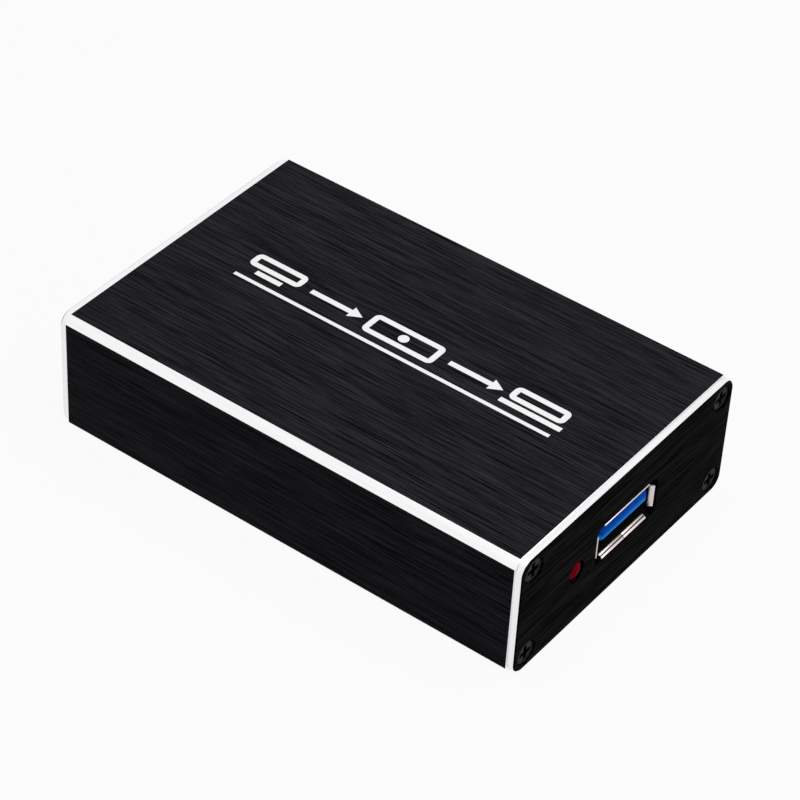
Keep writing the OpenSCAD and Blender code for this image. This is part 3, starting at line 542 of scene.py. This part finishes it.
def deepening(tree, grain, axis, start, end, least):
    """Strength of a painted shade colour, which grows along an axis and is a little uneven"""
    growth = ranged(tree, object_parts(tree)[axis], start, end)
    return mathed(tree, "MULTIPLY", growth, ranged(tree, grain["Blotches"], 0.0, 1.0, least, 1.0))


def blue_moulding(name, look):
    """Blue plastic, deeper in colour where the shell's roof shades it"""
    material, tree, shader = new_material(name)
    grain = grain_of(tree, MOULDED_GRAIN)
    deep = deepening(tree, grain, "Z", look.deep_from, look.deep_from + look.deep_fade, look.deep_least)
    coloured(tree, shader, deep, look.blue, look.blue_deep)
    shined(tree, shader, grain["Grain"], BLUE)
    return material


def tinted_resin(name, look, tip):
    """Clear red resin of the lamp, with painted light gathered round the dome's foot and painted shade
    towards its tip
    """
    material, tree, shader = new_material(name)
    grain = grain_of(tree, RESIN_GRAIN)
    deep = deepening(tree, grain, "X", tip - look.dome, tip, look.deep_least)
    coloured(tree, shader, deep, look.resin, look.deep)
    shined(tree, shader, grain["Grain"], RESIN)
    return material


def board_mask(name, look):
    """Solder mask over tracks that run along the board"""
    material, tree, shader = new_material(name)
    brick = tree.nodes.new("ShaderNodeTexBrick")
    brick.inputs["Scale"].default_value = 1.0
    brick.inputs["Mortar Size"].default_value = look.track_gap
    brick.inputs["Brick Width"].default_value = look.track_length
    brick.inputs["Row Height"].default_value = look.track_pitch
    tree.links.new(object_vector(tree, TRACK_CELLS), brick.inputs["Vector"])
    gaps = brick.outputs["Fac"]
    coloured(tree, shader, gaps, look.track, look.mask)
    shined(tree, shader, gaps, MASK)
    bumped(tree, shader, gaps, TRACK_BUMP)
    return material


def print_ink(name, ink):
    """Screen-printed ink with a slightly uneven film"""
    material, tree, shader = new_material(name)
    grain = grain_of(tree, INK_GRAIN)
    coloured(tree, shader, grain["Grain"], toned(ink, INK.tone), ink)
    shined(tree, shader, grain["Blotches"], INK)
    return material


# Mesh helpers

def merged_copy(node):
    """A CAD node as a new mesh, its loose triangles joined and its flat faces made whole"""
    mesh = bmesh.new()
    mesh.from_mesh(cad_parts[node].data)
    bmesh.ops.remove_doubles(mesh, verts=mesh.verts, dist=MERGE_DISTANCE)
    bmesh.ops.dissolve_limit(mesh, angle_limit=FLAT_ANGLE, verts=mesh.verts, edges=mesh.edges,
                             delimit={"NORMAL"})
    return mesh


def islands(mesh):
    """Groups of vertices that hang together"""
    groups = []
    known = set()
    for first in mesh.verts:
        if first in known:
            continue
        known.add(first)
        group = [first]
        for vert in group:
            for edge in vert.link_edges:
                other = edge.other_vert(vert)
                if other not in known:
                    known.add(other)
                    group.append(other)
        groups.append(group)
    return groups


def faces_of(group):
    """Faces that a group of vertices carries"""
    return {face for vert in group for face in vert.link_faces}


def rounded_edges(mesh, edges, offset):
    """Rounds edges by a small two-step bevel"""
    bmesh.ops.bevel(mesh, geom=edges, offset=offset, offset_type="OFFSET", segments=2, profile=0.5,
                    affect="EDGES", clamp_overlap=True, material=-1)


def sharp_edges(mesh):
    """Closed edges whose faces meet at a clear angle"""
    return [edge for edge in mesh.edges if edge.is_manifold and edge.calc_face_angle(0.0) > SHARP_ANGLE]


def finished(mesh, name, materials, node=None):
    """Turns a mesh into a piece that rides on the box, and may stand for a CAD node"""
    for face in mesh.faces:
        face.smooth = True
    data = bpy.data.meshes.new(name)
    mesh.to_mesh(data)
    mesh.free()
    if "custom_normal" in data.attributes:
        data.attributes.remove(data.attributes["custom_normal"])
    data.set_sharp_from_angle(angle=SHARP_ANGLE)
    for material in materials:
        data.materials.append(material)
    piece = bpy.data.objects.new(name, data)
    bpy.context.scene.collection.objects.link(piece)
    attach(piece, BODY)
    if node:
        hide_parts(node)
    return piece


def rounded_piece(name, material, node, offset):
    """Stands for a CAD node by a copy whose sharp edges are all rounded"""
    mesh = merged_copy(node)
    rounded_edges(mesh, sharp_edges(mesh), offset)
    finished(mesh, name, [material], node)


def dressed(material, *nodes):
    """Gives CAD nodes that keep their shape a material"""
    for node in nodes:
        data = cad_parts[node].data
        data.materials.clear()
        data.materials.append(material)


# Operators

class CAPTURE_OT_sleeve(bpy.types.Operator):
    """Make the brushed sleeve with its bright bevels"""
    bl_idname = "capture_box.sleeve"
    bl_label = "Sleeve"

    def execute(self, context):
        look = context.scene.capture_sleeve
        low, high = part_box("body_sleeve")

        def depth(spot):
            """Distance from the sleeve's long outer faces, inwards"""
            return min(high.y - abs(spot.y), high.z - spot.z, spot.z - low.z)

        mesh = merged_copy("body_sleeve")
        rounded_edges(mesh, [edge for edge in sharp_edges(mesh)
                             if all(depth(vert.co) < SAME_PLACE for vert in edge.verts)], look.edge_round)
        mesh.normal_update()
        for face in mesh.faces:
            is_slanted = max(abs(part) for part in face.normal) < SLANTED
            is_bevel = is_slanted and depth(face.calc_center_median()) < look.outer_zone
            at_end = all(abs(vert.co.x) > high.x - SAME_PLACE for vert in face.verts)
            is_end = at_end and abs(face.normal.x) > SQUARE_ON
            face.material_index = 1 if is_bevel or is_end else 0
        finished(mesh, "sleeve", [
            brushed_black("Black brushed sleeve", look, ALONG_X, SLEEVE_BLACK),
            bright_cut("Bright cut bevel", look.bright, ALONG_X),
        ], "body_sleeve")
        return {"FINISHED"}


class CAPTURE_OT_end_plates(bpy.types.Operator):
    """Make the two end plates with their bare rims"""
    bl_idname = "capture_box.end_plates"
    bl_label = "End plates"

    def execute(self, context):
        look = context.scene.capture_plates
        black = brushed_black("Black brushed plate", look, ALONG_Y, PLATE_BLACK)
        rim = bright_cut("Bare plate rim", look.bright, ALONG_Y)
        for end in ("output", "input"):
            node = end + "_end_plate"
            low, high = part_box(node)
            mesh = merged_copy(node)
            for face in mesh.faces:
                is_edgewise = abs(face.normal.x) < EDGEWISE
                is_rim = self.depth(face.calc_center_median(), low, high, look.corner) < look.rim
                face.material_index = 1 if is_rim and is_edgewise else 0
            finished(mesh, end + "_plate", [black, rim], node)
        return {"FINISHED"}

    def depth(self, spot, low, high, corner):
        """Distance from a plate's rounded outline, inwards"""
        middle = (low + high) / 2
        y = abs(spot.y - middle.y) - (high.y - middle.y - corner)
        z = abs(spot.z - middle.z) - (high.z - middle.z - corner)
        if y > 0 and z > 0:
            return corner - math.hypot(y, z)
        return corner - max(y, z)


class CAPTURE_OT_screws(bpy.types.Operator):
    """Make the countersunk screws with drawn-in cross recesses"""
    bl_idname = "capture_box.screws"
    bl_label = "Screws"

    def execute(self, context):
        look = context.scene.capture_screws
        steel = moulded("Black oxide steel", look.oxide, toned(look.oxide, OXIDE.tone), OXIDE)
        shade = moulded("Shaded recess", look.shade, look.oxide, RECESS)
        for end, side in (("output", 1), ("input", -1)):
            node = end + "_plate_screws"
            low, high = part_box(node)
            head = high.x if side > 0 else low.x
            mesh = merged_copy(node)
            for screw in islands(mesh):
                axis = sum((vert.co for vert in screw), Vector()) / len(screw)
                self.draw_recess(screw, axis, head, side, look)
                self.shade_recess(screw, axis, head, look)
            rounded_edges(mesh, [edge for edge in sharp_edges(mesh)
                                 if all(abs(vert.co.x - head) < SAME_PLACE for vert in edge.verts)],
                          look.edge_round)
            finished(mesh, end + "_screws", [steel, shade], node)
        return {"FINISHED"}

    def draw_recess(self, screw, axis, head, side, look):
        """Widens a recess at its mouth, and makes its floor smaller and deeper"""
        floor = head - side * look.recess_depth
        for vert in screw:
            off = Vector((0.0, vert.co.y - axis.y, vert.co.z - axis.z))
            if off.length > look.recess_reach:
                continue
            if abs(vert.co.x - floor) < SAME_PLACE:
                vert.co += (look.recess_taper - 1.0) * off
                vert.co.x -= side * look.recess_draw
            elif abs(vert.co.x - head) < SAME_PLACE:
                vert.co += (look.recess_mouth - 1.0) * off

    def shade_recess(self, screw, axis, head, look):
        """Gives the walls and the floor of a recess the second material"""
        deepest = look.recess_depth + look.recess_draw + SAME_PLACE
        for face in faces_of(screw):
            deep = max(abs(vert.co.x - head) for vert in face.verts)
            wide = max(math.hypot(vert.co.y - axis.y, vert.co.z - axis.z) for vert in face.verts)
            is_recess = SAME_PLACE < deep < deepest and wide < look.recess_reach
            face.material_index = 1 if is_recess else 0


class CAPTURE_OT_sockets(bpy.types.Operator):
    """Make the two cable sockets with their tongues and contacts"""
    bl_idname = "capture_box.sockets"
    bl_label = "Sockets"

    def execute(self, context):
        look = context.scene.capture_sockets
        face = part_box("output_end_plate")[1].x
        shell = nickel_shell("Nickel plate", look, face)
        blue = blue_moulding("Blue moulding", look)
        black = moulded("Black moulding", look.black, toned(look.black, BLACK.tone), BLACK)
        for end, moulding, slot in (("output", blue, "tongue_blue"), ("input", black, "tongue_black")):
            rounded_piece(end + "_shell", shell, end + "_socket_shell", look.sheet_round)
            rounded_piece(end + "_tongue", moulding, end + "_socket_tongue", look.tongue_round)
        dressed(plated_metal("Gold flash", look.gold, GOLD), "output_data_contacts",
                "output_fast_contacts", "input_upper_contacts", "input_lower_contacts")
        return {"FINISHED"}


class CAPTURE_OT_lamp(bpy.types.Operator):
    """Make the red status lamp as one turned piece"""
    bl_idname = "capture_box.lamp"
    bl_label = "Status lamp"

    def execute(self, context):
        look = context.scene.capture_lamp
        low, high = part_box("status_lamp")
        middle = (low + high) / 2
        centre = Vector((high.x - look.radius, middle.y, middle.z))
        flange_front = low.x + look.flange
        flange_radius = (high.z - low.z) / 2
        mesh = bmesh.new()
        tip = mesh.verts.new((high.x, middle.y, middle.z))
        bmesh.ops.spin(mesh, geom=[tip], cent=centre, axis=(0, -1, 0), angle=math.pi / 2,
                       steps=look.quarter)
        bmesh.ops.scale(mesh, verts=mesh.verts, vec=(look.dome / look.radius, 1.0, 1.0),
                        space=Matrix.Translation((-high.x, 0.0, 0.0)))
        mesh.verts.ensure_lookup_table()
        last = max(mesh.verts, key=lambda vert: vert.co.z)
        for x, radius in ((flange_front, look.radius), (flange_front, flange_radius),
                          (low.x, flange_radius), (low.x, 0.0)):
            grown = bmesh.ops.extrude_vert_indiv(mesh, verts=[last])
            last = grown["verts"][0]
            last.co = (x, middle.y, middle.z + radius)
        bmesh.ops.spin(mesh, geom=mesh.verts[:] + mesh.edges[:], cent=centre, axis=(1, 0, 0),
                       angle=math.tau, steps=4 * look.quarter, use_merge=True)
        bmesh.ops.remove_doubles(mesh, verts=mesh.verts, dist=MERGE_DISTANCE)
        bmesh.ops.recalc_face_normals(mesh, faces=mesh.faces)
        finished(mesh, "lamp", [tinted_resin("Red resin", look, high.x)], "status_lamp")
        return {"FINISHED"}


class CAPTURE_OT_board(bpy.types.Operator):
    """Give the circuit board and its electronics their finishes"""
    bl_idname = "capture_box.board"
    bl_label = "Board"

    def execute(self, context):
        look = context.scene.capture_board
        tin = plated_metal("Tin", look.tin, TIN)
        chip = moulded("Chip moulding", toned(look.chip, CHIP.tone), look.chip, CHIP)
        ferrite = moulded("Ferrite", toned(look.ferrite, FERRITE.tone), look.ferrite, FERRITE)
        ceramic = moulded("Ceramic", toned(look.ceramic, CERAMIC.tone), look.ceramic, CERAMIC)
        coat = moulded("Resistor coat", toned(look.chip, COAT.tone), look.chip, COAT)
        dressed(board_mask("Solder mask", look), "main_board")
        dressed(chip, "video_receiver_chip", "data_controller_chip", "program_memory_chip",
                "surge_protection_chips", "voltage_regulators", "bulk_capacitor_bases")
        dressed(tin, "video_receiver_leads", "data_controller_balls", "program_memory_leads",
                "surge_protection_leads", "voltage_regulator_leads", "status_lamp_leads")
        dressed(plated_metal("Drawn can", look.can, CAN), "bulk_capacitor_cans", "clock_crystals")
        dressed(ferrite, "power_coils")
        for node, body, slot in (("ceramic_capacitors", ceramic, "capacitor_tan"),
                                 ("chip_resistors", coat, "resistor_black"),
                                 ("ferrite_beads", ferrite, "coil_grey")):
            self.two_ended(node, body, tin, slot, look.end_cap)
        return {"FINISHED"}

    def two_ended(self, node, body, tin, slot, end_cap):
        """Small parts with tinned ends, each lying along its longer side"""
        mesh = merged_copy(node)
        for group in islands(mesh):
            low = Vector([min(vert.co[i] for vert in group) for i in range(3)])
            high = Vector([max(vert.co[i] for vert in group) for i in range(3)])
            along = ALONG_X if high.x - low.x > high.y - low.y else ALONG_Y
            reach = (high[along] - low[along]) / 2 - end_cap - SAME_PLACE
            middle = (high[along] + low[along]) / 2
            for face in faces_of(group):
                spot = face.calc_center_median()[along]
                face.material_index = 1 if abs(spot - middle) > reach else 0
        finished(mesh, node + "_piece", [body, tin], node)


class CAPTURE_OT_marking(bpy.types.Operator):
    """Print the plain signs and the line on the sleeve's top"""
    bl_idname = "capture_box.marking"
    bl_label = "Top marking"

    def execute(self, context):
        look = context.scene.capture_marking
        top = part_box("body_sleeve")[1].z
        span = look.right - look.left
        middle = (look.left + look.right) / 2
        centre = look.sign_base + look.sign_height / 2
        foot_line = look.sign_base + look.stroke / 2
        screen = look.screen * look.sign_height
        foot = look.foot * look.sign_height
        box = look.box * look.sign_height
        left = look.left + screen / 2
        right = look.right - screen / 2
        gap = (span - box) / 2 - screen
        mesh = bmesh.new()
        self.bar(mesh, middle, look.line_place, span, look.line_width)
        for x in (left, right):
            self.outline(mesh, x, centre + foot, screen, look.sign_height - 2 * foot, look)
        self.bar(mesh, left, foot_line, look.stand * screen, look.stroke)
        self.bar(mesh, right, foot_line, look.keyboard * screen, look.stroke)
        self.outline(mesh, middle, centre, box, look.sign_height, look)
        self.dot(mesh, middle, centre, look.dot * look.sign_height, look)
        for x in (middle - (box + gap) / 2, middle + (box + gap) / 2):
            self.arrow(mesh, x, centre, look.arrow * gap, look)
        bmesh.ops.translate(mesh, verts=mesh.verts, vec=(0.0, 0.0, top))
        grown = bmesh.ops.extrude_face_region(mesh, geom=mesh.faces[:])["geom"]
        bmesh.ops.translate(mesh, verts=[part for part in grown if isinstance(part, bmesh.types.BMVert)],
                            vec=(0.0, 0.0, look.film))
        bmesh.ops.recalc_face_normals(mesh, faces=mesh.faces)
        finished(mesh, "top_marking", [print_ink("White ink", look.ink)])
        return {"FINISHED"}

    def bar(self, mesh, x, y, width, height):
        """Filled rectangle; gives its corners"""
        matrix = Matrix.Translation((x, y, 0.0)) @ Matrix.Diagonal((width / 2, height / 2, 1.0, 1.0))
        return bmesh.ops.create_grid(mesh, x_segments=1, y_segments=1, size=1.0, matrix=matrix)["verts"]

    def outline(self, mesh, x, y, width, height, look):
        """Outline of a rectangle with rounded corners"""
        corners = self.bar(mesh, x, y, width, height)
        made = bmesh.ops.bevel(mesh, geom=corners, offset=look.stroke, offset_type="OFFSET",
                               segments=look.corner_steps, profile=0.5, affect="VERTICES",
                               clamp_overlap=True, material=-1)
        inner = max(made["verts"][0].link_faces, key=lambda face: face.calc_area())
        bmesh.ops.inset_region(mesh, faces=[inner], thickness=look.stroke, use_boundary=True,
                               use_even_offset=True)
        bmesh.ops.delete(mesh, geom=[inner], context="FACES")

    def dot(self, mesh, x, y, radius, look):
        """Filled round spot"""
        bmesh.ops.create_circle(mesh, cap_ends=True, segments=look.dot_steps, radius=radius,
                                matrix=Matrix.Translation((x, y, 0.0)))

    def arrow(self, mesh, x, y, reach, look):
        """Arrow that points along X"""
        head = look.arrow_head * look.stroke
        self.bar(mesh, x - head / 2, y, reach - head, look.stroke)
        bmesh.ops.create_circle(mesh, cap_ends=True, segments=3, radius=head,
                                matrix=Matrix.Translation((x + reach / 2 - head / 2, y, 0.0))
                                @ Matrix.Rotation(-math.pi / 2, 4, "Z"))


class CAPTURE_OT_stage(bpy.types.Operator):
    """Set the camera, the white floor and the lamps"""
    bl_idname = "capture_box.stage"
    bl_label = "Stage"

    def execute(self, context):
        look = context.scene.capture_stage
        self.camera(context.scene, look)
        self.room(context.scene, look)
        self.floor(context.scene, look)
        self.area(context.scene, "Key lamp", look.key_place, look.key_size, look.key)
        self.area(context.scene, "Side lamp", look.side_place, look.side_size, look.side)
        context.scene.view_settings.view_transform = "Standard"
        return {"FINISHED"}

    def camera(self, scene, look):
        """Camera at the photograph's angle"""
        data = bpy.data.cameras.new("Camera")
        data.lens = look.lens
        data.sensor_width = look.sensor
        camera = bpy.data.objects.new("Camera", data)
        back = Vector((math.sin(look.azimuth) * math.cos(look.elevation),
                       -math.cos(look.azimuth) * math.cos(look.elevation), math.sin(look.elevation)))
        turned = back.to_track_quat("Z", "Y").to_matrix().to_4x4() @ Matrix.Rotation(look.roll, 4, "Z")
        camera.matrix_world = Matrix.Translation(Vector(look.aim) + look.distance * back) @ turned
        scene.collection.objects.link(camera)
        scene.camera = camera

    def seen(self, tree):
        """1 where the eye sees a surface straight, in a reflection or through glass"""
        path = tree.nodes.new("ShaderNodeLightPath").outputs
        reflected = mathed(tree, "MAXIMUM", path["Is Glossy Ray"], path["Is Transmission Ray"])
        return mathed(tree, "MAXIMUM", path["Is Camera Ray"], reflected)

    def room(self, scene, look):
        """White room: plain white where it is seen, softer where it lights"""
        world = bpy.data.worlds.new("White room")
        world.use_nodes = True
        tree = world.node_tree
        background = tree.nodes["Background"]
        background.inputs["Color"].default_value = (1.0, 1.0, 1.0, 1.0)
        strength = ranged(tree, self.seen(tree), 0.0, 1.0, look.fill, 1.0)
        tree.links.new(strength, background.inputs["Strength"])
        scene.world = world

    def floor(self, scene, look):
        """White floor that keeps a soft shadow"""
        mesh = bmesh.new()
        bmesh.ops.create_grid(mesh, x_segments=1, y_segments=1, size=look.floor_size / 2,
                              matrix=Matrix.Translation((0.0, 0.0, -look.floor_drop)))
        data = bpy.data.meshes.new("Floor")
        mesh.to_mesh(data)
        mesh.free()
        material, tree, shader = new_material("White floor")
        shader.inputs["Base Color"].default_value = (*[look.floor_grey] * 3, 1.0)
        shader.inputs["Roughness"].default_value = look.floor_rough
        shader.inputs["Specular IOR Level"].default_value = 0.0
        white = tree.nodes.new("ShaderNodeEmission")
        mix = tree.nodes.new("ShaderNodeMixShader")
        tree.links.new(mathed(tree, "MULTIPLY", self.seen(tree), look.floor_white), mix.inputs["Fac"])
        tree.links.new(shader.outputs["BSDF"], mix.inputs[1])
        tree.links.new(white.outputs["Emission"], mix.inputs[2])
        tree.links.new(mix.outputs["Shader"], tree.nodes["Material Output"].inputs["Surface"])
        data.materials.append(material)
        floor = bpy.data.objects.new("Floor", data)
        scene.collection.objects.link(floor)

    def area(self, scene, name, spot, size, watts):
        """Square soft lamp that faces the box"""
        data = bpy.data.lights.new(name, "AREA")
        data.size = size
        data.energy = watts
        lamp = bpy.data.objects.new(name, data)
        turned = Vector(spot).to_track_quat("Z", "Y").to_matrix().to_4x4()
        lamp.matrix_world = Matrix.Translation(spot) @ turned
        scene.collection.objects.link(lamp)


class CAPTURE_PT_panel(bpy.types.Panel):
    """Steps that dress the capture box"""
    bl_idname = "CAPTURE_PT_panel"
    bl_label = "Capture box"
    bl_space_type = "VIEW_3D"
    bl_region_type = "UI"
    bl_category = "Capture box"

    def draw(self, context):
        for operator in OPERATORS:
            self.layout.operator(operator.bl_idname)


SETTINGS = {
    "capture_sleeve": SleeveSettings,
    "capture_plates": PlateSettings,
    "capture_screws": ScrewSettings,
    "capture_sockets": SocketSettings,
    "capture_lamp": LampSettings,
    "capture_board": BoardSettings,
    "capture_marking": MarkingSettings,
    "capture_stage": StageSettings,
}
OPERATORS = (
    CAPTURE_OT_sleeve,
    CAPTURE_OT_end_plates,
    CAPTURE_OT_screws,
    CAPTURE_OT_sockets,
    CAPTURE_OT_lamp,
    CAPTURE_OT_board,
    CAPTURE_OT_marking,
    CAPTURE_OT_stage,
)


def register():
    for name, settings in SETTINGS.items():
        bpy.utils.register_class(settings)
        setattr(bpy.types.Scene, name, PointerProperty(type=settings))
    for operator in OPERATORS:
        bpy.utils.register_class(operator)
    bpy.utils.register_class(CAPTURE_PT_panel)


def unregister():
    bpy.utils.unregister_class(CAPTURE_PT_panel)
    for operator in reversed(OPERATORS):
        bpy.utils.unregister_class(operator)
    for name, settings in reversed(SETTINGS.items()):
        delattr(bpy.types.Scene, name)
        bpy.utils.unregister_class(settings)


def main():
    register()
    bpy.ops.capture_box.sleeve()
    bpy.ops.capture_box.end_plates()
    bpy.ops.capture_box.screws()
    bpy.ops.capture_box.sockets()
    bpy.ops.capture_box.lamp()
    bpy.ops.capture_box.board()
    bpy.ops.capture_box.marking()
    bpy.ops.capture_box.stage()


if __name__ == "__main__":
    main()
